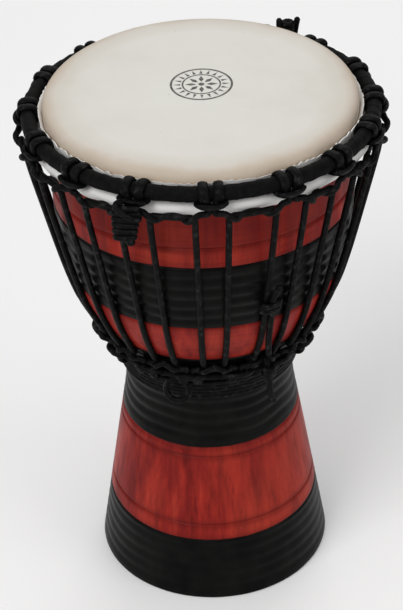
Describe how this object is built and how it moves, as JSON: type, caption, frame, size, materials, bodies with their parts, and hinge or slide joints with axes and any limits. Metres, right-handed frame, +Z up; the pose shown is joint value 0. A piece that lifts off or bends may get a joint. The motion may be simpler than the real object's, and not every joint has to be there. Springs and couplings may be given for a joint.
{
  "type": "djembe",
  "caption": "Rope-tuned goblet hand drum: carved wooden shell with red and black bands, goat skin head, cloth-wrapped crown ring and black rope lacing.",
  "frame": {"origin": "centre of the foot's annular face, on the floor", "axes": "+Z up along the drum's axis to the head; the pictured front faces -Y"},
  "size_m": [0.2718, 0.2718, 0.4064],
  "materials": {
    "wood": "red-stained carved wood with black painted carved bands, satin",
    "skin": "scraped off-white goat skin, matt",
    "steel": "plain round steel rod",
    "cloth": "black cotton strip wound over the ring",
    "rope": "black braided polyester rope, slight sheen"
  },
  "bodies": {
    "root": {"shell": "wood", "drumhead_skin": "skin", "flesh_hoop": "steel", "crown_ring": "steel", "crown_ring_cloth": "cloth", "crown_rope": "rope", "crown_rope_knot": "rope", "lacing_rope": "rope", "neck_ring": "steel", "neck_ring_cloth": "cloth", "neck_rope": "rope", "waist_coil": "rope", "waist_coil_eye": "rope", "rope_hank": "rope", "tie_off_rope": "rope", "tie_off_knot": "rope", "lacing_tail": "rope", "lacing_tail_knot": "rope"}
  },
  "joints": []
}
